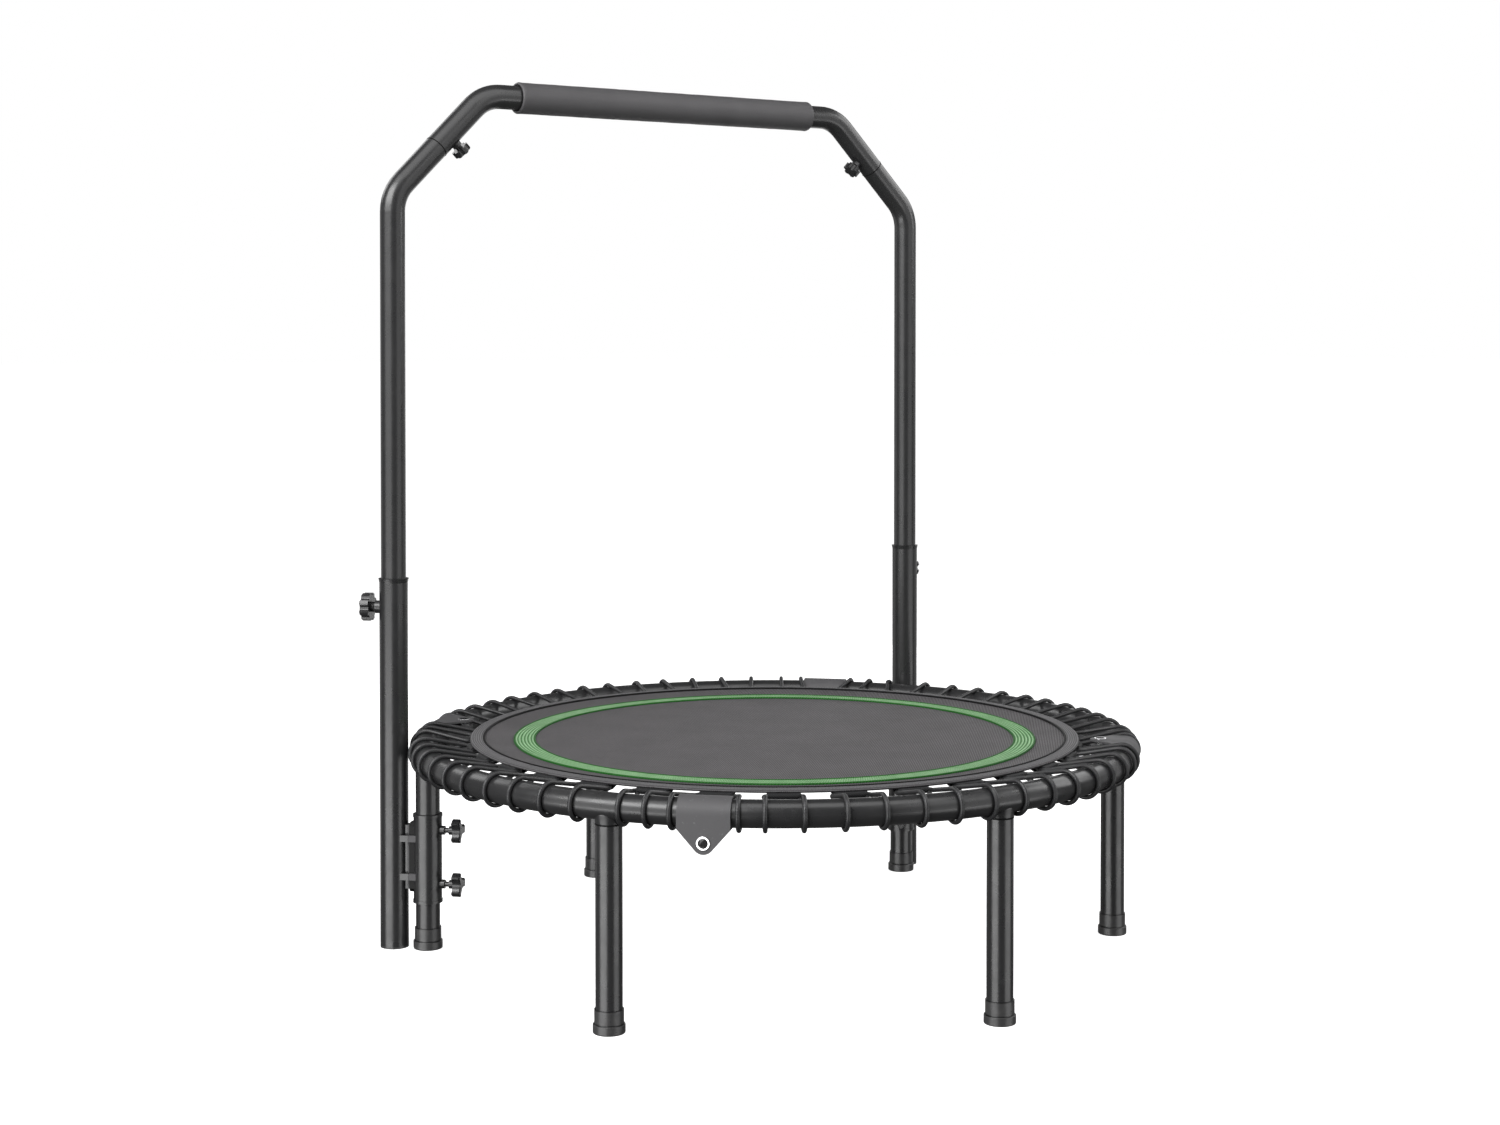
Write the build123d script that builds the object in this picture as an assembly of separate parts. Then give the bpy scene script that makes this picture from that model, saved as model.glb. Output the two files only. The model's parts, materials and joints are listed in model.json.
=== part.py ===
from build123d import *
import os
from math import acos, atan2, copysign, cos, hypot, radians, sin

# Folding mini trampoline with a height-adjustable handle bar.
# Millimetres. +Z up, origin on the floor under the ring's centre, handle at +Y.
# Angles are in degrees round +Z. The west half folds down about the 45 to 225 degree line.

# ---- driving dimensions -------------------------------------------------
RING_R = 493.0            # centre line of the ring tube
RING_Z = 282.0
RING_TUBE_R = 17.5
WALL = 1.5
END_GAP = 0.05            # degrees left open at each end of a ring quarter
BRACKET_ANGLES = (45.0, 135.0, 225.0, 315.0)
QUARTERS = {"back": 45.0, "left": 135.0, "front": 225.0, "right": 315.0}

LEG_CIRCLE_R = 490.0
LEG_ANGLES = {"back_right": 30.0, "back_left": 90.0, "left": 150.0,
              "front_left": 210.0, "front_right": 270.0, "right": 330.0}
WEST_LEGS = ("back_left", "left", "front_left")
EAST_LEGS = ("front_right", "right", "back_right")
LEG_R = 17.0
LEG_TOP = 260.0
LEG_BOTTOM = 5.0
INSERT_LENGTH = 26.0      # threaded insert in the leg's top
STUB_FLARE_R = 18.5
FLARE_HEIGHT = 12.0
STUB_BOTTOM = 260.6
STUD_R = 5.0
STUD_BOTTOM = 236.0
STUD_TOP = 270.0
CAP_TOP = 30.0
CAP_STEP = 12.0
CAP_R = 18.6
CAP_FLANGE_R = 20.5
CAP_FILLET = 1.5

PIVOT_DROP = 33.5         # from the tube's axis to a hinge rivet
BRACKET_HALF = 33.5
BRACKET_SKIRT = 17.0      # straight part of the cheeks below the tube's axis
BRACKET_TIP_R = 14.0
PLATE = 2.5
TUBE_GAP = 0.3            # between a bracket's sheet and the tubes
CHANNEL_R = 18.0          # inside the round back of a side hinge's channel
FOLD_CHANNEL_R = 18.6     # wider, so that the curved tube can swing out of it
FOLD_CHANNEL_SHIFT = -0.6
LUG_HALF = 13.0
LUG_TIP_R = 12.5
RIVET_R = 7.5
RIVET_BORE_R = 6.4
RIVET_HEAD_R = 8.7
RIVET_HEAD = 1.4
RIVET_FILLET = 0.6
FOOT_LENGTH = 24.0        # a hinge lug's foot along the tube
FOOT_SINK = 6.0
HALF_SEAM = 3.0           # bare length of tube each side of a quarter's end
RUN_CLEARANCE = 0.05

MAT_R = 430.0
MAT_TOP = 297.5
MAT_THICK = 2.0
MAT_SAG = 4.3             # the middle of the mat hangs this much below its rim
SAG_R = 372.0             # inside this radius the mat is level
BAND_INNER_R = 412.0
BAND_THICK = 1.0
SPLIT_GAP = 0.3           # each side of the fold line

CORD_R = 3.0
LOOP_BAR_R = 2.5
LOOP_BAR_CIRCLE_R = 428.0
LOOP_BAR_Z = 285.4
CORD_GAP = 0.2
PAIRS = 32
PAIR_HALF = 2.75          # degrees from a pair's middle to each wrap
BRACKET_PAIR_HALF = 4.7
STUB_CLEAR = 2.7          # degrees kept between a wrap and a leg stub
BAR_OVERHANG = 0.8        # degrees that a loop bar reaches past its wraps

POST_X = 459.0
POST_Y = 280.0
POST_R = 20.0
POST_TOP = 515.0
POST_BOTTOM = 3.0
POST_PLUG = 15.0
BUSHING_TOP = 521.0
BUSHING_BOTTOM = 492.0
BUSHING_LIP_R = 21.3      # at its top; it tapers down to the post
UPPER_R = 17.5
UPPER_BOTTOM = 260.0
CORNER_Z = 1061.0
SEAM_RUN = 69.0           # level run from the post to the seam in the diagonal
TOP_RUN = 146.0           # level run from the post to the top bar's corner
BEND_R = 60.0
SPIGOT_LENGTH = 55.0
SPIGOT_ROOT = 20.0
GRIP_R = 23.0
GRIP_LENGTH = 520.0
GRIP_FILLET = 3.0

SLEEVE_R = 20.0
SLEEVE_BORE_R = 17.1
SLEEVE_BOTTOM = 65.5
SLEEVE_TOP = 190.0
SLEEVE_LIP = 4.0
SLEEVE_LIP_R = 20.8
CLAMP_HEIGHTS = (91.0, 167.0)
LUG_HEIGHTS = (102.0, 156.0)
RAIL_BOTTOM = 84.0
RAIL_TOP = 174.0
RAIL_WIDTH = 14.0
BACKING_WIDTH = 22.0
BACKING_OUT = 24.0        # from the leg's axis
BACKING_EXTRA = 4.0       # the backing plate is this much taller than the strips, each end
STRIP_OUT = 27.1
PART_GAP = 0.3            # between what rides on the sleeve and what rides on the post
CROSS_LUG_WIDTH = 30.0
CROSS_LUG_HEIGHT = 9.0
BACKING_CHAMFER = 5.0
BLOCK_SINK = 9.0          # a block starts this far inside the tube it is saddled to

HEIGHT_KNOB_Z = 480.0
TOP_KNOB_FROM_SEAM = 26.0
SCREW_R = 3.5
SCREW_HOLE_R = 3.6
SCREW_GAP = 0.3           # a screw's tip stands this far off the tube it clamps
KNOB_CHAMFER = 1.4
HUB_SHARE = 0.36          # a knob's hub radius as a share of its head's
NOTCH_SHARE = 0.25        # how far outside the head a notch's middle is, in notch radii
BOSS_SINK = 2.0           # a boss starts this far inside its tube

PLUS_Z = Vector(0, 0, 1)


# ---- helpers --------------------------------------------------------------
def polar(radius, angle, z=0.0):
    return Vector(radius * cos(radians(angle)), radius * sin(radians(angle)), z)


def rod(radius, start, direction, length):
    """Solid cylinder from a start point along a direction."""
    return extrude(Plane(start, z_dir=direction) * Circle(radius), length)


def pipe(outer, inner, bottom, top, x=0.0, y=0.0):
    """Upright tube between two heights."""
    section = Circle(outer) - Circle(inner)
    return extrude(Plane((x, y, bottom)) * section, top - bottom)


def arc_solid(section, radius, z, start, sweep_angle):
    """A section drawn round (radius, z), revolved round +Z from a start angle."""
    plane = Plane((radius, 0, z), x_dir=(1, 0, 0), z_dir=(0, -1, 0))
    return Rot(Z=start) * revolve(plane * section, Axis.Z, sweep_angle)


def ring_core():
    """The ring tube's outside as one filled solid, for cutting saddles."""
    return arc_solid(Circle(RING_TUBE_R), RING_R, RING_Z, 0, 360)


def save(node, *solids):
    part = solids[0] if len(solids) == 1 else Compound(children=list(solids))
    export_step(part, f"parts/{node}.step")


# ---- ring -----------------------------------------------------------------
def ring_quarter(start):
    section = Circle(RING_TUBE_R) - Circle(RING_TUBE_R - WALL)
    return arc_solid(section, RING_R, RING_Z, start + END_GAP, 90 - 2 * END_GAP)


def bracket_plane(angle, folds_down):
    """Tube's axis at a bracket: local x along the tube, y away from the pivot."""
    tangent = polar(1, angle + 90)
    across = polar(1, angle) if folds_down else -PLUS_Z
    return Plane(polar(RING_R, angle, RING_Z), x_dir=tangent, z_dir=across)


def cheek_outline():
    """Straight sides over the tube, tapering to a round tip at the pivot."""
    top = FOLD_CHANNEL_R + 2 * PLATE
    height = top + BRACKET_SKIRT
    body = Pos(0, top - height / 2) * Rectangle(2 * BRACKET_HALF, height)
    tip = Pos(0, -PIVOT_DROP) * Circle(BRACKET_TIP_R)
    return make_hull(body.edges() + tip.edges())


def channel_fit(folds_down):
    """Inner radius of a hinge channel, and how far its middle is off the tube's."""
    return (FOLD_CHANNEL_R, FOLD_CHANNEL_SHIFT) if folds_down else (CHANNEL_R, 0.0)


def u_bar(radius, shift):
    """Bar along local x with a half-round back and straight sides."""
    length = 4 * BRACKET_HALF
    plane = Plane((-length / 2, 0, shift), x_dir=(0, 1, 0), z_dir=(1, 0, 0))
    section = Circle(radius) + Pos(-PIVOT_DROP, 0) * Rectangle(2 * PIVOT_DROP, 2 * radius)
    return extrude(plane * section, length)


def hinge_channel(angle, folds_down, welded_side):
    """Folded sheet channel over both tube ends, saddled to the tube on one side."""
    radius, shift = channel_fit(folds_down)
    reach = 2 * (radius + PLATE)
    sheet = Pos(0, 0, -reach) * extrude(cheek_outline(), 2 * reach)
    inside = u_bar(radius, shift)
    channel = (sheet & u_bar(radius + PLATE, shift)) - inside
    saddle_length = BRACKET_HALF - HALF_SEAM
    block = Pos(welded_side * (HALF_SEAM + saddle_length / 2), radius, 0) * Box(
        saddle_length, 2 * radius, 2 * reach)
    hole = Pos(0, -PIVOT_DROP, 0) * Cylinder(RIVET_R, 2 * reach)
    return bracket_plane(angle, folds_down) * (channel + (inside & block) - hole) - ring_core()


def hinge_lug(angle, folds_down, welded_side):
    """Block under the other tube end, reaching down to the rivet it turns on."""
    tip = Pos(0, -PIVOT_DROP) * Circle(LUG_TIP_R)
    foot_middle = 5 + FOOT_LENGTH / 2
    foot = Pos(welded_side * foot_middle, -RING_TUBE_R + 1) * Rectangle(FOOT_LENGTH, FOOT_SINK)
    outline = make_hull(tip.edges() + foot.edges())
    block = Pos(0, 0, -LUG_HALF) * extrude(outline, 2 * LUG_HALF)
    hole = Pos(0, -PIVOT_DROP, 0) * Cylinder(RIVET_R + RUN_CLEARANCE, 4 * LUG_HALF)
    return bracket_plane(angle, folds_down) * (block - hole) - ring_core()


def hinge_rivet(angle, folds_down):
    """Hollow rivet through both cheeks and the lug, with a rolled head each side."""
    radius, shift = channel_fit(folds_down)
    length = 2 * (radius + PLATE)
    shank = Cylinder(RIVET_R, length)
    disc = Cylinder(RIVET_HEAD_R, RIVET_HEAD)
    head = fillet(disc.edges().filter_by(GeomType.CIRCLE), RIVET_FILLET)
    stand = (length + RIVET_HEAD) / 2
    rivet = shank + Pos(0, 0, stand) * head + Pos(0, 0, -stand) * head
    rivet -= Cylinder(RIVET_BORE_R, 2 * length)
    return bracket_plane(angle, folds_down) * Pos(0, -PIVOT_DROP, shift) * rivet


# ---- legs -------------------------------------------------------------------
def leg_stub(angle):
    """Short flared collar welded under the ring tube."""
    centre = polar(LEG_CIRCLE_R, angle)
    collar = Pos(centre.X, centre.Y, STUB_BOTTOM + FLARE_HEIGHT / 2) * Cone(
        LEG_R, STUB_FLARE_R, FLARE_HEIGHT)
    neck_height = RING_Z - STUB_BOTTOM - FLARE_HEIGHT
    neck = Pos(centre.X, centre.Y, RING_Z - neck_height / 2) * Cylinder(
        STUB_FLARE_R, neck_height)
    stud_hole = Pos(centre.X, centre.Y, STUB_BOTTOM) * Cylinder(STUD_R, 2 * FLARE_HEIGHT)
    return collar + neck - ring_core() - stud_hole


def leg_stud(angle):
    """Threaded stud that joins a leg to its stub, cut off at the ring tube."""
    centre = polar(LEG_CIRCLE_R, angle, STUD_BOTTOM)
    return rod(STUD_R, centre, PLUS_Z, STUD_TOP - STUD_BOTTOM) - ring_core()


def leg(angle):
    """Leg tube with the threaded insert welded into its top."""
    centre = polar(LEG_CIRCLE_R, angle)
    tube = pipe(LEG_R, LEG_R - WALL, LEG_BOTTOM, LEG_TOP, centre.X, centre.Y)
    insert = pipe(LEG_R - WALL, STUD_R, LEG_TOP - INSERT_LENGTH, LEG_TOP, centre.X, centre.Y)
    return tube + insert


def foot_cap(angle):
    """Two-step rubber cap, closed below, pushed over the leg's end."""
    disc = Cylinder(CAP_FLANGE_R, CAP_STEP)
    flange = fillet(disc.edges().filter_by(GeomType.CIRCLE), CAP_FILLET)
    collar_height = CAP_TOP - CAP_STEP
    collar = Pos(0, 0, CAP_STEP / 2 + collar_height / 2) * Cylinder(CAP_R, collar_height)
    socket = Pos(0, 0, LEG_BOTTOM - CAP_STEP / 2 + CAP_TOP / 2) * Cylinder(LEG_R, CAP_TOP)
    cap = Pos(0, 0, CAP_STEP / 2) * (flange + collar - socket)
    return Pos(polar(LEG_CIRCLE_R, angle)) * cap


# ---- mat and cord -------------------------------------------------------------
def half_turned(outline, side):
    """A closed (radius, z) outline turned round +Z, on one side of the fold line.

    The side is +1 for west and -1 for east.
    """
    plane = Plane((0, 0, 0), x_dir=(1, 0, 0), z_dir=(0, -1, 0))
    turned = revolve(plane * make_face(Polyline(*outline, close=True)), Axis.Z, 360)
    block = Pos(0, side * (MAT_R + SPLIT_GAP), MAT_TOP) * Box(3 * MAT_R, 2 * MAT_R, MAT_R)
    return turned & (Rot(Z=BRACKET_ANGLES[0]) * block)


def mat_half(side):
    """Sheet that is level in the middle and rises to a flat rim."""
    middle = MAT_TOP - MAT_SAG
    top = [(0, middle), (SAG_R, middle), (BAND_INNER_R, MAT_TOP), (MAT_R, MAT_TOP)]
    under = [(radius, z - MAT_THICK) for radius, z in reversed(top)]
    return half_turned(top + under, side)


def band_half(side):
    top = MAT_TOP + BAND_THICK
    return half_turned([(BAND_INNER_R, MAT_TOP), (MAT_R, MAT_TOP), (MAT_R, top),
                        (BAND_INNER_R, top)], side)


def wrap_pairs():
    """Angles of the two wraps of each pair, moved off the leg stubs where needed."""
    pairs = []
    for index in range(PAIRS):
        middle = BRACKET_ANGLES[0] + index * 360 / PAIRS
        on_bracket = index % (PAIRS // 4) == 0
        half = BRACKET_PAIR_HALF if on_bracket else PAIR_HALF
        pair = []
        for wrap in (middle - half, middle + half):
            for stub in LEG_ANGLES.values():
                offset = (wrap - stub + 180) % 360 - 180
                if abs(offset) < STUB_CLEAR:
                    wrap = wrap - offset + copysign(STUB_CLEAR, offset)
            pair.append(wrap)
        pairs.append(pair)
    return pairs


def is_west(angle):
    return (angle - BRACKET_ANGLES[0]) % 360 < 180


def cord_wrap():
    """One closed turn of cord round the ring tube and a loop bar, in the XZ plane."""
    big = RING_TUBE_R + TUBE_GAP + CORD_R
    small = LOOP_BAR_R + CORD_GAP + CORD_R
    dx = LOOP_BAR_CIRCLE_R - RING_R
    dz = LOOP_BAR_Z - RING_Z
    heading = atan2(dz, dx)
    spread = acos((big - small) / hypot(dx, dz))

    def on_tube(angle):
        return Vector(RING_R + big * cos(angle), 0, RING_Z + big * sin(angle))

    def on_bar(angle):
        return Vector(LOOP_BAR_CIRCLE_R + small * cos(angle), 0,
                      LOOP_BAR_Z + small * sin(angle))

    over = heading - spread
    under = heading + spread
    path = Wire([
        Line(on_tube(over), on_bar(over)).edge(),
        ThreePointArc(on_bar(over), on_bar(heading), on_bar(under)).edge(),
        Line(on_bar(under), on_tube(under)).edge(),
        ThreePointArc(on_tube(under), on_tube(heading + radians(180)), on_tube(over)).edge(),
    ])
    start = Plane(path @ 0, z_dir=path % 0)
    return sweep(start * Circle(CORD_R), path)


def loop_bar(start, end):
    """Stiff bar sewn under the mat's edge that a pair of wraps hooks round."""
    return arc_solid(Circle(LOOP_BAR_R), LOOP_BAR_CIRCLE_R, LOOP_BAR_Z, start, end - start)


def loop_bars():
    """All the bars, sorted into west and east; bars on the fold line are cut there."""
    bars = {"west": [], "east": []}
    for first, last in wrap_pairs():
        low = first - BAR_OVERHANG
        high = last + BAR_OVERHANG
        if is_west(low) == is_west(high):
            bars["west" if is_west(low) else "east"].append(loop_bar(low, high))
        else:
            middle = (low + high) / 2
            lower = loop_bar(low, middle - END_GAP)
            upper = loop_bar(middle + END_GAP, high)
            bars["west" if is_west(low) else "east"].append(lower)
            bars["west" if is_west(high) else "east"].append(upper)
    return bars


# ---- knobs ----------------------------------------------------------------------
def knob(radius, lobes, notch_r, head, hub, screw):
    """Star knob on +Z: screw tip at z = 0, then the hub, then a notched head."""
    outline = Circle(radius)
    for index in range(lobes):
        middle = polar(radius + NOTCH_SHARE * notch_r, index * 360 / lobes)
        outline -= Pos(middle) * Circle(notch_r)
    grip = extrude(outline, head)
    grip = chamfer(grip.faces().sort_by(Axis.Z)[-1].edges(), KNOB_CHAMFER)
    shank = Cylinder(SCREW_R, screw + hub)
    return (Pos(0, 0, screw + hub) * grip
            + Pos(0, 0, screw + hub / 2) * Cylinder(HUB_SHARE * radius, hub)
            + Pos(0, 0, (screw + hub) / 2) * shank)


def placed(shape, point, direction):
    return Plane(point, z_dir=direction) * shape


def boss(point, direction, tube_r, radius, height):
    """Drilled collar that stands off a tube, from just inside the tube's face."""
    start = point + direction * (tube_r - BOSS_SINK)
    length = height + BOSS_SINK
    return rod(radius, start, direction, length) - rod(SCREW_HOLE_R, start, direction, length)


# ---- handle ---------------------------------------------------------------------
def post_point(side, z=0.0):
    return Vector(side * POST_X, POST_Y, z)


def leg_of(side):
    return LEG_ANGLES["left" if side < 0 else "back_right"]


def outward(side):
    """Direction from a clamped leg to its handle post."""
    return polar(1, 135 if side < 0 else 45)


def diagonal(side):
    return Vector(-side, 0, 1).normalized()


def below_diagonal(side):
    return Vector(-side, 0, -1).normalized()


def screw_hole(point, direction):
    return rod(SCREW_HOLE_R, point, direction, 3 * POST_R)


def lower_post(side):
    tube = pipe(POST_R, POST_R - WALL, POST_BOTTOM, POST_TOP, side * POST_X, POST_Y)
    return tube - screw_hole(post_point(side, HEIGHT_KNOB_Z), outward(side))


def post_bushing(side):
    """Plastic bush in the post's mouth with a flared lip; the upper post runs in it."""
    lip_height = BUSHING_TOP - POST_TOP
    body = rod(POST_R - WALL, post_point(side, BUSHING_BOTTOM), PLUS_Z,
               POST_TOP - BUSHING_BOTTOM)
    lip = Pos(post_point(side, POST_TOP + lip_height / 2)) * Cone(
        POST_R, BUSHING_LIP_R, lip_height)
    bore = rod(UPPER_R + RUN_CLEARANCE, post_point(side, BUSHING_BOTTOM), PLUS_Z,
               BUSHING_TOP - BUSHING_BOTTOM)
    return body + lip - bore


def post_plug(side):
    """Rubber plug in the post's lower end."""
    disc = rod(POST_R, post_point(side), PLUS_Z, POST_BOTTOM)
    return disc + rod(POST_R - WALL, post_point(side), PLUS_Z, POST_PLUG)


def clamp_sleeve(side):
    centre = polar(LEG_CIRCLE_R, leg_of(side))
    x, y = centre.X, centre.Y
    body = pipe(SLEEVE_R, SLEEVE_BORE_R, SLEEVE_BOTTOM, SLEEVE_TOP, x, y)
    body += pipe(SLEEVE_LIP_R, SLEEVE_BORE_R, SLEEVE_BOTTOM, SLEEVE_BOTTOM + SLEEVE_LIP, x, y)
    body += pipe(SLEEVE_LIP_R, SLEEVE_BORE_R, SLEEVE_TOP - SLEEVE_LIP, SLEEVE_TOP, x, y)
    for z in CLAMP_HEIGHTS:
        body -= screw_hole(Vector(x, y, z), -outward(side))
    return body


def beside_leg(side):
    """Frame on a clamped leg's axis: x towards the post, z up."""
    return Plane(polar(LEG_CIRCLE_R, leg_of(side)), x_dir=outward(side), z_dir=PLUS_Z)


def upright_block(x_from, x_to, width, z_from, z_to):
    return Pos((x_from + x_to) / 2, 0, (z_from + z_to) / 2) * Box(
        x_to - x_from, width, z_to - z_from)


def cross_lug(x_from, x_to, z):
    half = CROSS_LUG_HEIGHT / 2
    return upright_block(x_from, x_to, CROSS_LUG_WIDTH, z - half, z + half)


def clamp_lugs(side):
    """Sleeve's side of the clamp: chamfered backing plate, strip and lug stubs."""
    inside = SLEEVE_R - BLOCK_SINK
    plate = upright_block(inside, BACKING_OUT, BACKING_WIDTH,
                          RAIL_BOTTOM - BACKING_EXTRA, RAIL_TOP + BACKING_EXTRA)
    plate = chamfer(plate.edges().filter_by(Axis.X), BACKING_CHAMFER)
    plate += upright_block(BACKING_OUT, STRIP_OUT, RAIL_WIDTH, RAIL_BOTTOM, RAIL_TOP)
    for z in LUG_HEIGHTS:
        plate += cross_lug(inside, BACKING_OUT, z)
    sleeve_core = Pos(0, 0, SLEEVE_TOP / 2) * Cylinder(SLEEVE_R, 2 * SLEEVE_TOP)
    return beside_leg(side) * (plate - sleeve_core)


def rail_strip(side):
    """Post's side of the clamp: strip and notched cross lugs, saddled to the post."""
    gap = (post_point(side) - polar(LEG_CIRCLE_R, leg_of(side))).length
    inside = gap - POST_R + BLOCK_SINK
    strip_in = STRIP_OUT + PART_GAP
    strip = upright_block(strip_in, inside, RAIL_WIDTH, RAIL_BOTTOM, RAIL_TOP)
    notch = upright_block(0, strip_in, RAIL_WIDTH + 2 * PART_GAP, 0, SLEEVE_TOP)
    for z in LUG_HEIGHTS:
        strip += cross_lug(BACKING_OUT + PART_GAP, inside, z) - notch
    post_core = rod(POST_R, post_point(side), PLUS_Z, POST_TOP)
    return beside_leg(side) * strip - post_core


def clamp_bosses(side):
    centre = polar(LEG_CIRCLE_R, leg_of(side))
    core = rod(SLEEVE_R, centre, PLUS_Z, SLEEVE_TOP)
    bosses = []
    for z in CLAMP_HEIGHTS:
        point = Vector(centre.X, centre.Y, z)
        bosses.append(boss(point, -outward(side), SLEEVE_R, radius=6.3, height=5.2) - core)
    return bosses


def clamp_knob(side, z):
    tip = LEG_R + SCREW_GAP
    centre = polar(LEG_CIRCLE_R, leg_of(side), z)
    shape = knob(radius=17.0, lobes=3, notch_r=12.5, head=12.0, hub=6.0, screw=14.5)
    return placed(shape, centre - outward(side) * tip, -outward(side))


def height_knob(side):
    tip = UPPER_R + SCREW_GAP
    shape = knob(radius=20.0, lobes=8, notch_r=4.6, head=13.0, hub=4.0, screw=10.0)
    return placed(shape, post_point(side, HEIGHT_KNOB_Z) + outward(side) * tip, outward(side))


def height_boss(side):
    core = rod(POST_R, post_point(side), PLUS_Z, POST_TOP)
    point = post_point(side, HEIGHT_KNOB_Z)
    return boss(point, outward(side), POST_R, radius=9.0, height=6.0) - core


def seam_point(side):
    return Vector(side * (POST_X - SEAM_RUN), POST_Y, CORNER_Z + SEAM_RUN)


def tube_along(points):
    path = FilletPolyline(*points, radius=BEND_R)
    section = Circle(UPPER_R) - Circle(UPPER_R - WALL)
    return sweep(Plane(path @ 0, z_dir=path % 0) * section, path)


def upper_post(side):
    """Sliding post, bent 45 degrees, with a spigot that carries the top bar."""
    seam = seam_point(side)
    tube = tube_along([post_point(side, UPPER_BOTTOM), post_point(side, CORNER_Z), seam])
    inner = UPPER_R - WALL
    spigot_bore = inner - 2 * WALL
    root = rod(inner, seam - diagonal(side) * SPIGOT_ROOT, diagonal(side), SPIGOT_ROOT)
    neck = rod(inner - RUN_CLEARANCE, seam, diagonal(side), SPIGOT_LENGTH)
    bore = rod(spigot_bore, seam - diagonal(side) * SPIGOT_ROOT, diagonal(side),
               SPIGOT_ROOT + SPIGOT_LENGTH)
    return tube + (root + neck - bore)


def top_knob_point(side):
    return seam_point(side) + diagonal(side) * TOP_KNOB_FROM_SEAM


def top_bar():
    """Bar with both ends bent down to meet the upper posts."""
    height = CORNER_Z + TOP_RUN
    half = POST_X - TOP_RUN
    gap = diagonal(-1) * TUBE_GAP
    mirror_gap = diagonal(1) * TUBE_GAP
    bar = tube_along([seam_point(-1) + gap, Vector(-half, POST_Y, height),
                      Vector(half, POST_Y, height), seam_point(1) + mirror_gap])
    for side in (-1, 1):
        bar -= screw_hole(top_knob_point(side), below_diagonal(side))
    return bar


def top_knob(side):
    tip = UPPER_R - WALL - RUN_CLEARANCE + SCREW_GAP
    shape = knob(radius=13.0, lobes=6, notch_r=3.9, head=10.0, hub=2.5, screw=7.0)
    return placed(shape, top_knob_point(side) + below_diagonal(side) * tip,
                  below_diagonal(side))


def top_boss(side):
    axis = diagonal(side)
    core = rod(UPPER_R, seam_point(side), axis, 2 * TOP_KNOB_FROM_SEAM)
    point = top_knob_point(side)
    return boss(point, below_diagonal(side), UPPER_R, radius=7.0, height=4.5) - core


def foam_grip():
    """Soft round sleeve on the middle of the top bar."""
    start = Vector(-GRIP_LENGTH / 2, POST_Y, CORNER_Z + TOP_RUN)
    outer = rod(GRIP_R, start, Vector(1, 0, 0), GRIP_LENGTH)
    outer = fillet(outer.edges().filter_by(GeomType.CIRCLE), GRIP_FILLET)
    return outer - rod(UPPER_R, start, Vector(1, 0, 0), GRIP_LENGTH)


# ---- the assembly ------------------------------------------------------------------
def save_frame():
    for name, start in QUARTERS.items():
        save(f"ring_tube_{name}", ring_quarter(start))
    # North is at 45 degrees and south at 225; the east tube is at -1 and +1 there.
    north, west, south, east = BRACKET_ANGLES
    save("fold_channel_north", hinge_channel(north, True, -1))
    save("fold_channel_south", hinge_channel(south, True, 1))
    save("fold_lugs", hinge_lug(north, True, 1), hinge_lug(south, True, -1))
    save("side_channel_west", hinge_channel(west, False, -1))
    save("side_channel_east", hinge_channel(east, False, -1))
    save("side_lug_west", hinge_lug(west, False, 1))
    save("side_lug_east", hinge_lug(east, False, 1))
    save("hinge_rivets_east", hinge_rivet(north, True), hinge_rivet(south, True),
         hinge_rivet(east, False))
    save("hinge_rivet_west", hinge_rivet(west, False))


def save_legs():
    for half, names in (("west", WEST_LEGS), ("east", EAST_LEGS)):
        angles = [LEG_ANGLES[name] for name in names]
        save(f"leg_stubs_{half}", *[leg_stub(angle) for angle in angles])
        save(f"leg_studs_{half}", *[leg_stud(angle) for angle in angles])
        save(f"foot_caps_{half}", *[foot_cap(angle) for angle in angles])
    for name, angle in LEG_ANGLES.items():
        save(f"leg_{name}", leg(angle))


def save_mat():
    wrap = cord_wrap()
    bars = loop_bars()
    wraps = [angle for pair in wrap_pairs() for angle in pair]
    for half, side in (("west", 1), ("east", -1)):
        save(f"mat_{half}", mat_half(side))
        save(f"edge_band_{half}", band_half(side))
        save(f"loop_bars_{half}", *bars[half])
        turns = [Rot(Z=angle) * wrap for angle in wraps if is_west(angle) == (half == "west")]
        save(f"bungee_cord_{half}", *turns)


def save_handle():
    for name, side in (("left", -1), ("right", 1)):
        save(f"clamp_sleeve_{name}", clamp_sleeve(side))
        save(f"clamp_lugs_{name}", clamp_lugs(side))
        save(f"clamp_bosses_{name}", *clamp_bosses(side))
        save(f"lower_post_{name}", lower_post(side))
        save(f"upper_post_{name}", upper_post(side))
        save(f"height_knob_{name}", height_knob(side))
        save(f"top_knob_{name}", top_knob(side))
        save(f"clamp_knob_{name}_low", clamp_knob(side, CLAMP_HEIGHTS[0]))
        save(f"clamp_knob_{name}_high", clamp_knob(side, CLAMP_HEIGHTS[1]))
    save("post_bushings", post_bushing(-1), post_bushing(1))
    save("post_plugs", post_plug(-1), post_plug(1))
    save("rail_strips", rail_strip(-1), rail_strip(1))
    save("height_bosses", height_boss(-1), height_boss(1))
    save("top_bosses", top_boss(-1), top_boss(1))
    save("top_bar", top_bar())
    save("foam_grip", foam_grip())


os.makedirs("parts", exist_ok=True)
save_frame()
save_legs()
save_mat()
save_handle()
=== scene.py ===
import json
import math
import random

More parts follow.
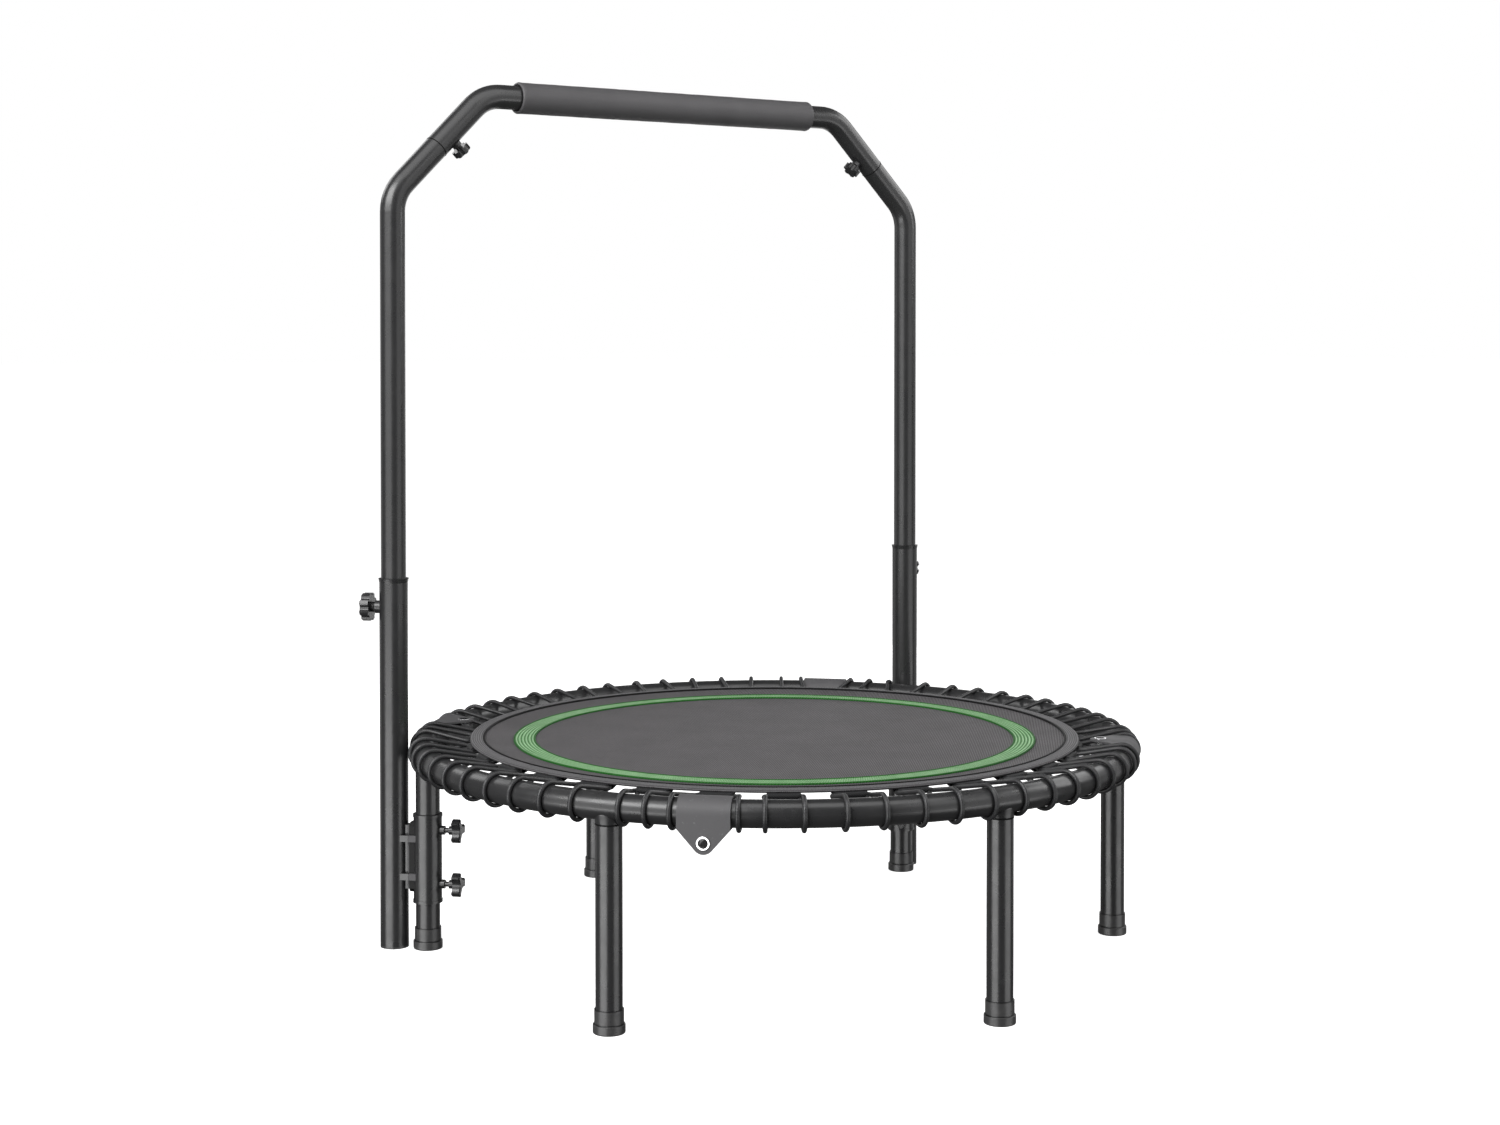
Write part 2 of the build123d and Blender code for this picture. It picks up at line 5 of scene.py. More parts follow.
import bmesh
import bpy
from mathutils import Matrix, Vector


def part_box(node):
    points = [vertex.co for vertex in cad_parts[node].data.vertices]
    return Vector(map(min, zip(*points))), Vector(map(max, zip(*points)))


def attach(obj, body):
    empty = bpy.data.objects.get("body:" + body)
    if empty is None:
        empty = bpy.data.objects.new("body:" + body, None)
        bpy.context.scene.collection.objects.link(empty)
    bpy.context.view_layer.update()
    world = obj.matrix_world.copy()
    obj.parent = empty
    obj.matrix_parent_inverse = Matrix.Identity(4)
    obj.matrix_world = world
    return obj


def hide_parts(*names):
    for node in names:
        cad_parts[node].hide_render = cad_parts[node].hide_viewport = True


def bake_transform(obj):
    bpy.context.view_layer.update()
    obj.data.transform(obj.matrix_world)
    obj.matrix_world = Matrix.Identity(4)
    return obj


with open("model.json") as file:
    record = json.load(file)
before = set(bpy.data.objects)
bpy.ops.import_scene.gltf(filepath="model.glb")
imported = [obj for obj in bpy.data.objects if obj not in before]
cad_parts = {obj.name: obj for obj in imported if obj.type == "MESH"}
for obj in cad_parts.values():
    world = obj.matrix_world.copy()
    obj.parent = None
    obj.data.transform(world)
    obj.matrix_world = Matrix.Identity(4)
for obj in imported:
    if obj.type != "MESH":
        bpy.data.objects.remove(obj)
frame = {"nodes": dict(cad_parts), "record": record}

random.seed(7)
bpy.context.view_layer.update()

# ---- sizes, read from the frame (metres) ------------------------------------
left_low, left_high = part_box("ring_tube_left")
TUBE_R = (left_high.z - left_low.z) / 2
RING_Z = (left_high.z + left_low.z) / 2
RING_R = -left_low.x - TUBE_R
mat_low, mat_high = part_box("mat_west")
MAT_R = -mat_low.x
MAT_TOP = mat_high.z
MAT_THICK = 0.002                 # as in the CAD
MAT_UNDER = MAT_TOP - MAT_THICK
SAG = MAT_UNDER - mat_low.z       # the mat's level middle hangs this far below its rim
BAND_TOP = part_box("edge_band_west")[1].z
grip_low, grip_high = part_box("foam_grip")
GRIP_R = (grip_high.z - grip_low.z) / 2
BAR_R = TUBE_R

# ---- design sizes of the soft goods -----------------------------------------
BAND_IN = MAT_R - 0.018           # inner edge of the webbing band
SAG_R = MAT_R - 0.058             # inside this radius the mat is level
RING_IN = MAT_R - 0.090           # green stitched ring, inner and outer edge
RING_OUT = MAT_R - 0.062
RING_ROWS = 6
ROW_WIDTH = (RING_OUT - RING_IN) / RING_ROWS
STITCH = 0.0034                   # stitch length in the green ring
CORD_R = 0.003
RUN_OUT_R = MAT_R                 # outer pass of a cord ring under the mat's edge
RUN_IN_R = MAT_R - 0.008          # its inner pass
RUN_Z = MAT_UNDER - 0.0048
FOLD_ANGLE = 45.0                 # the fold line, in degrees round +Z
PAIRS = 32                        # cord rings, each with two wraps on the tube
PAIR_HALF = 2.75                  # degrees from a pair's middle to each wrap
BRACKET_PAIR_HALF = 4.7           # the same where a bracket stands between the wraps
STUB_CLEAR = 2.7                  # degrees kept between a wrap and a leg stub
LEG_ANGLES = range(30, 390, 60)   # the six leg stubs
LEGS = ("leg_left", "leg_right", "leg_front_left", "leg_front_right",
        "leg_back_left", "leg_back_right")
TAB_HALF = 3.3                    # degrees, where the cord leaves a tab's ends
RIB_AZIMUTH = 47.0                # the twill's ribs run this way
CAP_SHADE_LINE_HEIGHTS = (0.0122, 0.0300)    # heights where a foot cap steps in, each given a painted shade line
PLATE_FACE = 0.024                # a clamp's backing face ends this far from the leg's axis; nearer the axis the paint gets painted shade
LUG_HEIGHTS = (0.102, 0.156)      # middles of the clamps' cross lugs
LUG_HALF = 0.0045                 # half a cross lug's height
STITCH_ROWS = (BAND_IN + 0.0028, MAT_R - 0.0045)    # the band's two rows of stitches

# ---- fineness of the meshes -------------------------------------------------
ROUND_STEPS = 512                 # segments in a full circle of cloth or cord
SMALL_STEPS = 48                  # segments in a circle round a tube
TRIM_SIDES = 8                    # sides of a thin cord or ring


# ---- mesh helpers -----------------------------------------------------------
def polar(radius, degrees, z):
    angle = math.radians(degrees)
    return Vector((radius * math.cos(angle), radius * math.sin(angle), z))


def circle(radius, z, steps=ROUND_STEPS):
    """Points round +Z."""
    return [polar(radius, 360 * k / steps, z) for k in range(steps)]


def new_mesh(name, vertices, faces, uvs, material):
    """A smooth-shaded object. uvs holds one pair in metres for each vertex."""
    mesh = bpy.data.meshes.new(name)
    mesh.from_pydata([tuple(v) for v in vertices], [], faces)
    layer = mesh.uv_layers.new(name="metres")
    for loop in mesh.loops:
        layer.data[loop.index].uv = uvs[loop.vertex_index]
    for polygon in mesh.polygons:
        polygon.use_smooth = True
    mesh.materials.append(material)
    obj = bpy.data.objects.new(name, mesh)
    bpy.context.scene.collection.objects.link(obj)
    return obj


def grid_faces(rows, columns, close_rows, close_columns, offset):
    """Quads of a grid of vertices stored row by row."""
    faces = []
    for i in range(rows if close_rows else rows - 1):
        for j in range(columns if close_columns else columns - 1):
            a = i * columns + j
            b = i * columns + (j + 1) % columns
            c = ((i + 1) % rows) * columns + (j + 1) % columns
            d = ((i + 1) % rows) * columns + j
            faces.append(tuple(offset + k for k in (a, b, c, d)))
    return faces


class Builder:
    """Collects grids of vertices into one mesh."""

    def __init__(self):
        self.vertices = []
        self.faces = []
        self.uvs = []

    def add_grid(self, rows, uvs, close_rows, close_columns):
        offset = len(self.vertices)
        columns = len(rows[0])
        for row, uv_row in zip(rows, uvs):
            self.vertices.extend(row)
            self.uvs.extend(uv_row)
        self.faces.extend(grid_faces(len(rows), columns, close_rows, close_columns, offset))

    def cap(self, first, count, flip):
        """Closes one end of a tube with a single polygon."""
        ring = [first + k for k in range(count)]
        self.faces.append(tuple(reversed(ring)) if flip else tuple(ring))

    def finish(self, name, material):
        obj = new_mesh(name, self.vertices, self.faces, self.uvs, material)
        outward(obj)
        return obj


def outward(obj):
    """Makes every closed part's normals point out."""
    work = bmesh.new()
    work.from_mesh(obj.data)
    bmesh.ops.recalc_face_normals(work, faces=work.faces)
    work.to_mesh(obj.data)
    work.free()


def add_lathe(builder, profile, start=0.0, stop=360.0, steps=ROUND_STEPS):
    """Turns a closed profile of (radius, z) points round +Z."""
    full = stop - start >= 360.0
    columns = steps if full else steps + 1
    lengths = [0.0]
    for a, b in zip(profile, profile[1:]):
        lengths.append(lengths[-1] + math.dist(a, b))
    first = len(builder.vertices)
    rows = []
    uvs = []
    for k in range(columns):
        angle = start + (stop - start) * k / steps
        rows.append([polar(r, angle, z) for r, z in profile])
        along = math.radians(angle) * MAT_R
        uvs.append([(along, lengths[i]) for i in range(len(profile))])
    builder.add_grid(rows, uvs, full, True)
    if not full:
        count = len(profile)
        builder.cap(first, count, False)
        builder.cap(first + (columns - 1) * count, count, True)


def add_tube(builder, points, radius, sides=10):
    """Closed tube round a closed line of points, without twist."""
    count = len(points)
    tangents = [(points[(i + 1) % count] - points[i - 1]).normalized() for i in range(count)]
    normal = tangents[0].orthogonal().normalized()
    normals = []
    for tangent in tangents:
        normal = (normal - tangent * normal.dot(tangent)).normalized()
        normals.append(normal.copy())
    last = normals[-1] - tangents[0] * normals[-1].dot(tangents[0])
    last.normalize()
    twist = math.atan2(normals[0].cross(last).dot(tangents[0]), normals[0].dot(last))
    rows = []
    uvs = []
    run = 0.0
    for i in range(count):
        turn = -twist * i / count
        side = tangents[i].cross(normals[i])
        row = []
        uv_row = []
        for k in range(sides):
            angle = 2 * math.pi * k / sides + turn
            spoke = math.cos(angle) * normals[i] + math.sin(angle) * side
            row.append(points[i] + radius * spoke)
            uv_row.append((run, 2 * math.pi * radius * k / sides))
        rows.append(row)
        uvs.append(uv_row)
        run += (points[(i + 1) % count] - points[i]).length
    builder.add_grid(rows, uvs, True, True)


def add_grain(builder, centre, along, up, length, width, height):
    """One stitch: a small rounded grain of thread lying on the cloth."""
    across = up.cross(along)
    rings = 5
    sides = 6
    reach = 0.96                  # the grain is cut off just short of its tips
    rows = []
    uvs = []
    for i in range(rings):
        t = -reach + 2 * reach * i / (rings - 1)
        swell = math.sqrt(1 - t * t)
        row = []
        for k in range(sides):
            angle = 2 * math.pi * k / sides
            row.append(centre + along * (t * length / 2)
                       + across * (math.cos(angle) * swell * width / 2)
                       + up * (math.sin(angle) * swell * height / 2))
        rows.append(row)
        uvs.append([(t * length, k * width / sides) for k in range(sides)])
    first = len(builder.vertices)
    builder.add_grid(rows, uvs, False, True)
    builder.cap(first, sides, False)
    builder.cap(first + (rings - 1) * sides, sides, True)


# ---- materials --------------------------------------------------------------
class Finish:
    """A node material put together step by step."""

    def __init__(self, name, color, roughness, coords="Object", **sockets):
        self.material = bpy.data.materials.new(name)
        self.material.use_nodes = True
        self.tree = self.material.node_tree
        self.shader = self.tree.nodes["Principled BSDF"]
        self.shader.inputs["Base Color"].default_value = (*color, 1)
        self.shader.inputs["Roughness"].default_value = roughness
        for socket, value in sockets.items():
            self.shader.inputs[socket.replace("_", " ")].default_value = value
        self.coords = self.tree.nodes.new("ShaderNodeTexCoord").outputs[coords]

    def link(self, source, target):
        self.tree.links.new(source, target)

    def node(self, kind, inputs=None, **settings):
        made = self.tree.nodes.new(kind)
        for key, value in settings.items():
            setattr(made, key, value)
        for key, value in (inputs or {}).items():
            if isinstance(value, bpy.types.NodeSocket):
                self.link(value, made.inputs[key])
            else:
                made.inputs[key].default_value = value
        return made

    def stretched(self, scale):
        made = self.node("ShaderNodeMapping", {"Vector": self.coords, "Scale": scale})
        return made.outputs["Vector"]

    def noise(self, scale, detail=3.0, vector=None):
        made = self.node("ShaderNodeTexNoise", {
            "Vector": vector or self.coords, "Scale": scale, "Detail": detail})
        return made.outputs["Fac"]

    def turned(self, azimuth):
        """Coordinates whose X runs square to lines at that azimuth in degrees."""
        made = self.node("ShaderNodeMapping", {
            "Vector": self.coords, "Rotation": (0, 0, -math.radians(azimuth + 90))})
        return made.outputs["Vector"]

    def wave(self, pitch, direction, distortion=0.0, vector=None):
        """Stripes with a pitch in metres, along X, Y or DIAGONAL."""
        made = self.node("ShaderNodeTexWave", {
            "Vector": vector or self.coords, "Scale": 2 * math.pi / (20 * pitch),
            "Distortion": distortion, "Detail": 2.0, "Detail Scale": 1.5},
            bands_direction=direction)
        return made.outputs["Fac"]

    def math(self, operation, a, b=0.0):
        made = self.node("ShaderNodeMath", {0: a, 1: b}, operation=operation)
        return made.outputs[0]

    def spread(self, value, low, high, to_low, to_high):
        made = self.node("ShaderNodeMapRange", {
            "Value": value, "From Min": low, "From Max": high,
            "To Min": to_low, "To Max": to_high})
        return made.outputs["Result"]

    def mix(self, share, a, b):
        made = self.node("ShaderNodeMix", data_type="RGBA")
        self.link(share, made.inputs["Factor"])
        for index, value in ((6, a), (7, b)):
            if isinstance(value, bpy.types.NodeSocket):
                self.link(value, made.inputs[index])
            else:
                made.inputs[index].default_value = (*value, 1)
        return made.outputs[2]

    def color(self, value):
        self.link(value, self.shader.inputs["Base Color"])

    def roughness(self, value):
        self.link(value, self.shader.inputs["Roughness"])

    def bump(self, height, depth, strength=1.0):
        """Adds a layer of relief; depth is in metres."""
        made = self.node("ShaderNodeBump", {
            "Height": height, "Distance": depth, "Strength": strength})
        before = self.shader.inputs["Normal"].links
        if before:
            self.link(before[0].from_socket, made.inputs["Normal"])
        self.link(made.outputs["Normal"], self.shader.inputs["Normal"])


def powder_coat():
    """Satin black coat on tube: orange peel, faint colour drift and a few rubbed spots."""
    finish = Finish("powder_coat_black", (0.026, 0.026, 0.027), 0.30, Specular_IOR_Level=0.9)
    drift = finish.noise(9.0)
    rub = finish.spread(finish.noise(55.0, 6.0), 0.66, 0.74, 0.0, 0.5)
    coat = finish.mix(drift, (0.021, 0.021, 0.022), (0.031, 0.031, 0.032))
    finish.color(finish.mix(rub, coat, (0.050, 0.050, 0.051)))
    finish.roughness(finish.spread(finish.noise(40.0, 5.0), 0.3, 0.7, 0.25, 0.33))
    finish.bump(finish.noise(900.0, 2.0), 0.00004, 0.25)
    finish.bump(finish.noise(3500.0, 1.0), 0.00001, 0.3)
    return finish.material


def sheet_grey(finish):
    """Grey paint that drifts a little in tone."""
    drift = finish.noise(30.0, 4.0)
    return drift, finish.mix(drift, (0.096, 0.094, 0.098), (0.128, 0.126, 0.130))


def bracket_paint():
    """Lighter grey paint on folded sheet, with a fine grain and worn patches."""
    finish = Finish("bracket_grey", (0.125, 0.123, 0.127), 0.5, Specular_IOR_Level=0.4)
    drift, grey = sheet_grey(finish)
    scuff = finish.spread(finish.noise(170.0, 8.0), 0.64, 0.72, 0.0, 0.6)
    finish.color(finish.mix(scuff, grey, (0.22, 0.22, 0.225)))
    finish.roughness(finish.spread(drift, 0.3, 0.7, 0.42, 0.58))
    finish.bump(finish.noise(1400.0, 2.0), 0.00010, 0.5)
    return finish.material


def clamp_paint(leg, azimuth):
    """Grey strip and lugs, with painted shade, near black, on the backing face in the recess
    behind them.
    """
    low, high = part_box(leg)
    out = polar(1, azimuth, 0)
    face = (low + high).dot(out) / 2 + PLATE_FACE
    finish = Finish(f"clamp_grey_{leg}", (0.11, 0.11, 0.11), 0.5, Specular_IOR_Level=0.35)
    depth = finish.node("ShaderNodeVectorMath", {0: finish.coords, 1: out},
                        operation="DOT_PRODUCT").outputs["Value"]
    blur = 0.0003
    recess_shade = finish.spread(depth, face + 0.0001, face + blur, 1.0, 0.0)
    height = finish.node("ShaderNodeSeparateXYZ", {0: finish.coords}).outputs["Z"]
    for lug in LUG_HEIGHTS:
        away = finish.math("ABSOLUTE", finish.math("SUBTRACT", height, lug))
        beside = finish.spread(away, LUG_HALF, LUG_HALF + blur, 0.0, 1.0)
        recess_shade = finish.math("MULTIPLY", recess_shade, beside)
    grey = sheet_grey(finish)[1]
    # painted shade: near black on the backing face in the recess, except at the lugs
    finish.color(finish.mix(recess_shade, grey, (0.002, 0.002, 0.002)))
    finish.bump(finish.noise(1400.0, 2.0), 0.00010, 0.5)
    return finish.material


def chrome():
    finish = Finish("chrome", (0.80, 0.80, 0.81), 0.12, Metallic=1.0)
    finish.roughness(finish.spread(finish.noise(220.0, 5.0), 0.3, 0.7, 0.06, 0.22))
    turned = finish.noise(60.0, 3.0, finish.stretched((1, 1, 30)))
    finish.bump(turned, 0.00003, 0.5)
    return finish.material


def plated_steel():
    finish = Finish("zinc_plated_steel", (0.55, 0.55, 0.54), 0.35, Metallic=1.0)
    finish.color(finish.mix(finish.noise(120.0), (0.48, 0.48, 0.46), (0.64, 0.64, 0.62)))
    finish.bump(finish.wave(0.0015, "Z"), 0.0005, 0.8)    # the screws' thread
    return finish.material


def rubber():
    """Moulded foot rubber: satin, with a dusty bloom, fine pores and painted shade lines at its
    steps.
    """
    finish = Finish("foot_rubber", (0.055, 0.055, 0.056), 0.38, Specular_IOR_Level=0.8)
    bloom = finish.spread(finish.noise(90.0, 6.0), 0.45, 0.75, 0.0, 0.6)
    height = finish.node("ShaderNodeSeparateXYZ", {0: finish.coords}).outputs["Z"]
    clear = None
    for crease in CAP_SHADE_LINE_HEIGHTS:
        away = finish.math("ABSOLUTE", finish.math("SUBTRACT", height, crease))
        near = finish.spread(away, 0.0003, 0.0011, 0.0, 1.0)
        clear = near if clear is None else finish.math("MULTIPLY", clear, near)
    skin = finish.mix(bloom, (0.052, 0.052, 0.053), (0.086, 0.084, 0.082))
    # painted shade: a near-black line at each height where the cap steps in
    finish.color(finish.mix(clear, (0.002, 0.002, 0.002), skin))
    finish.roughness(finish.spread(finish.noise(300.0), 0.3, 0.7, 0.27, 0.38))
    finish.bump(finish.noise(1800.0, 2.0), 0.00015, 0.5)
    return finish.material


def knob_plastic():
    finish = Finish("knob_plastic", (0.020, 0.020, 0.021), 0.28, Specular_IOR_Level=0.8)
    finish.color(finish.mix(finish.noise(60.0), (0.016, 0.016, 0.017), (0.026, 0.026, 0.027)))
    finish.roughness(finish.spread(finish.noise(500.0, 4.0), 0.3, 0.7, 0.22, 0.34))
    finish.bump(finish.noise(1600.0, 2.0), 0.00008, 0.5)
    return finish.material


def seam_and_shade_black():
    # near-black matt finish: painted shade at the legs' joins, and the dark seams at the top bar's
    # ends
    finish = Finish("seam_and_shade_black", (0.004, 0.004, 0.004), 0.6, Specular_IOR_Level=0.15)
    finish.color(finish.mix(finish.noise(200.0), (0.003, 0.003, 0.003), (0.008, 0.008, 0.008)))
    finish.bump(finish.noise(1500.0, 2.0), 0.00008, 0.5)
    return finish.material


def foam():
    """Closed-cell grip foam: dark grey with a slight drift in tone, and open cut cells."""
    finish = Finish("grip_foam", (0.098, 0.096, 0.099), 0.52, Specular_IOR_Level=0.55)
    cells = finish.node("ShaderNodeTexVoronoi", {"Vector": finish.coords, "Scale": 850.0})
    fine = finish.node("ShaderNodeTexVoronoi", {"Vector": finish.coords, "Scale": 2400.0})
    shade = finish.mix(finish.noise(22.0, 5.0), (0.080, 0.078, 0.081), (0.112, 0.109, 0.113))
    pore = finish.spread(cells.outputs["Distance"], 0.0, 0.35, 0.35, 0.0)
    finish.color(finish.mix(pore, shade, (0.030, 0.029, 0.030)))
    finish.bump(cells.outputs["Distance"], 0.00035, 0.5)
    finish.bump(fine.outputs["Distance"], 0.00015, 0.4)
    return finish.material


def cloth(name, dark, light, pitch, roughness, fuzz, azimuth=45.0):
    """Twill: slanting ribs broken by the warp, with yarn-to-yarn colour drift."""
    finish = Finish(name, dark, roughness, "UV", Specular_IOR_Level=0.25,
                    Sheen_Weight=fuzz, Sheen_Roughness=0.5)
    along = finish.turned(azimuth)
    ribs = finish.wave(pitch, "X", 0.5, along)
    steps = finish.wave(pitch / 1.4, "Y", 0.4, along)
    weave = finish.math("MULTIPLY", ribs, finish.spread(steps, 0.0, 1.0, 0.6, 1.0))
    yarns = finish.noise(1.0, 3.0, finish.stretched((2200.0, 60.0, 1.0)))
    tone = finish.math("MULTIPLY", weave, finish.spread(yarns, 0.35, 0.65, 0.75, 1.2))
    patches = finish.spread(finish.noise(14.0, 4.0), 0.35, 0.65, 0.90, 1.10)
    finish.color(finish.mix(finish.math("MULTIPLY", tone, patches), dark, light))
    finish.bump(weave, 0.00045, 0.7)
    return finish.material


def mat_fabric():
    return cloth("mat_woven", (0.012, 0.011, 0.012), (0.225, 0.214, 0.222),
                 0.0023, 0.62, 0.05, RIB_AZIMUTH)


def webbing():
    return cloth("edge_webbing", (0.045, 0.043, 0.046), (0.220, 0.216, 0.222),
                 0.0030, 0.66, 0.1, 0.0)


def tab_webbing():
    return cloth("tab_webbing", (0.010, 0.010, 0.011), (0.034, 0.034, 0.036),
                 0.0022, 0.6, 0.1)


def thread(name, dark, light, shine=0.35):
    """Sewing thread: a twisted ply, with a painted highlight on its crown."""
    finish = Finish(name, light, 0.5, "UV", Specular_IOR_Level=shine)
    ply = finish.wave(0.0022, "DIAGONAL", 0.3)
    drift = finish.noise(35.0, 4.0)
    share = finish.math("MULTIPLY", ply, finish.spread(drift, 0.3, 0.7, 0.7, 1.2))
    # painted highlight: the ply's crown takes the light colour, its sides the dark one
    finish.color(finish.mix(share, dark, light))
    finish.bump(ply, 0.0003, 0.7)
    return finish.material


def green_thread():
    """Rows of stitches: a painted highlight on each row's crown and painted shade in the grooves,
    each row leaning the other way.
    """
    finish = Finish("green_thread", (0.2, 0.45, 0.2), 0.5, "UV", Specular_IOR_Level=0.35)
    place = finish.node("ShaderNodeSeparateXYZ", {0: finish.coords})
    lean = finish.math("PINGPONG", place.outputs["Y"], ROW_WIDTH)
    along = finish.math("ADD", place.outputs["X"], finish.math("MULTIPLY", lean, 0.5))
    slanted = finish.node("ShaderNodeCombineXYZ", {"X": along}).outputs[0]
    stitches = finish.wave(STITCH / 2, "X", 0.2, slanted)
    crown_relief_and_shade = finish.wave(ROW_WIDTH, "Y")
    drift = finish.spread(finish.noise(35.0, 4.0), 0.3, 0.7, 0.8, 1.1)
    share = finish.math("MULTIPLY", crown_relief_and_shade, finish.spread(stitches, 0.0, 1.0, 0.5, 1.0))
    share = finish.math("MULTIPLY", share, drift)
    # painted highlight on each row's crown and painted shade in the grooves between rows
    finish.color(finish.mix(share, (0.022, 0.150, 0.020), (0.480, 0.760, 0.450)))
    finish.bump(share, 0.0006, 0.8)
    return finish.material


def cord_sleeve():
    """Braided cover of the elastic cord: two sets of strands crossing."""
    finish = Finish("braided_cord", (0.022, 0.022, 0.023), 0.38, "UV",
                    Specular_IOR_Level=0.75)
    pitch = 0.0016
    one = finish.wave(pitch, "DIAGONAL")
    two = finish.wave(pitch, "DIAGONAL", vector=finish.stretched((1.0, -1.0, 1.0)))
    braid = finish.math("MAXIMUM", one, two)
    finish.color(finish.mix(braid, (0.010, 0.010, 0.011), (0.034, 0.034, 0.036)))
    finish.bump(braid, 0.0003, 0.5)
    return finish.material


FINISHES = {
    "powder_coat": powder_coat(), "bracket_paint": bracket_paint(), "chrome": chrome(),
    "steel": plated_steel(), "rubber": rubber(), "plastic": knob_plastic(), "foam": foam(),
    "mat_fabric": mat_fabric(), "webbing": webbing(), "cord": cord_sleeve(),
    "stitch_green": green_thread(),
}
CLAMP_FINISHES = {
    "clamp_lugs_left": clamp_paint("leg_left", 135),
    "clamp_lugs_right": clamp_paint("leg_back_right", 45),
}
TAB_CLOTH = tab_webbing()
SEAM_AND_SHADE_BLACK = seam_and_shade_black()
GREEN_EDGE = thread("dark_green_thread", (0.008, 0.070, 0.008), (0.030, 0.200, 0.028), shine=0.2)
BLACK_CORD_AND_SHADE = thread("black_cord_and_shade", (0.003, 0.003, 0.003), (0.010, 0.010, 0.011), shine=0.15)
GREY_THREAD = thread("grey_thread", (0.070, 0.070, 0.072), (0.260, 0.258, 0.265))


def finish_cad_nodes():
    """Gives every CAD object the finish of its slot."""
    for entry in frame["record"]["subparts"]:
        mesh = frame["nodes"][entry["node"]].data
        mesh.materials.clear()
        finish = CLAMP_FINISHES.get(entry["node"], FINISHES[entry["material_slot"]])
        mesh.materials.append(finish)


# ---- soft goods -------------------------------------------------------------
def bend_with_fold(obj):
    """Bakes the piece's transform into its mesh."""
    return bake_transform(obj)


def mat_height(radius):
    """Top face of the mat: level inside, then a smooth rise to the rim."""
    t = min(1.0, max(0.0, (radius - SAG_R) / (BAND_IN - SAG_R)))
    return MAT_TOP - SAG * (1 - t * t * (3 - 2 * t))


def pull(degrees):
    """How far the cord rings draw the mat's edge out, from 0 to 1."""
    phase = math.radians((degrees - FOLD_ANGLE) * PAIRS)
    return 0.5 + 0.5 * math.cos(phase)


def mat_sheet():
    """Woven sheet, its edge drawn out a little at each cord ring."""
    steps = ROUND_STEPS
    circles = 60
    radii = [0.004] + [MAT_R * k / circles for k in range(1, circles + 1)]
    inset = 0.0002                # keeps the sheet clear of the band's two faces
    draw = 0.0009                 # the edge stands back this far between two cord rings
    tops = []
    unders = []
    for k in range(steps):
        angle = 360 * k / steps
        scallop = draw * (pull(angle) - 1)
        top_row = []
        under_row = []
        for r in radii:
            radius = r + scallop * (r / MAT_R) ** 12
            top = mat_height(radius)
            top_row.append(polar(radius, angle, top - inset))
            under_row.append(polar(radius, angle, top - MAT_THICK + inset))
        tops.append(top_row)
        unders.append(list(reversed(under_row)))
    rows = [top + under for top, under in zip(tops, unders)]
    uvs = [[(p.x, p.y) for p in row] for row in rows]
    builder = Builder()
    builder.add_grid(rows, uvs, True, False)
    count = len(rows[0])
    builder.faces.append(tuple(k * count for k in range(steps)))
    builder.faces.append(tuple(k * count + count - 1 for k in reversed(range(steps))))
    obj = builder.finish("mat_sheet", FINISHES["mat_fabric"])
    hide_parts("mat_west", "mat_east")
    return bend_with_fold(obj)


def edge_webbing():
    """Webbing folded round the mat's edge, with a soft rounded rim."""
    rim = 0.0012
    top = BAND_TOP
    under = MAT_UNDER - 0.0008
    middle = (top + under) / 2
    half = (top - under) / 2
    level_from = BAND_IN + 0.0012
    profile = [(BAND_IN, MAT_TOP - 0.0001), (BAND_IN + 0.0003, top - 0.0002),
               (level_from, top)]
    rib = 0.0036                  # faint ribs run along the webbing
    for k in range(1, 5):
        profile.append((level_from + k * rib, top + 0.0001 * (k % 2)))
    for k in range(7):
        angle = math.pi / 2 - math.pi * k / 6
        profile.append((MAT_R - rim + rim * math.cos(angle), middle + half * math.sin(angle)))
    profile += [(BAND_IN + 0.004, under), (BAND_IN, under + 0.0002), (BAND_IN, MAT_UNDER)]
    builder = Builder()
    add_lathe(builder, profile)
    obj = builder.finish("edge_webbing", FINISHES["webbing"])
    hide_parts("edge_band_west", "edge_band_east")
    return bend_with_fold(obj)


def stitch_row(name, radius, z, material):
    """One circle of lockstitch, each stitch its own grain of thread."""
    pitch = 0.0044
    length = pitch * 0.72
    width = 0.0009
    builder = Builder()
    count = round(2 * math.pi * radius / pitch)
    up = Vector((0, 0, 1))
    for k in range(count):
        angle = 360 * k / count
        along = polar(1, angle + 90, 0)
        add_grain(builder, polar(radius, angle, z), along, up, length, width, width * 0.9)
    return bend_with_fold(builder.finish(name, material))


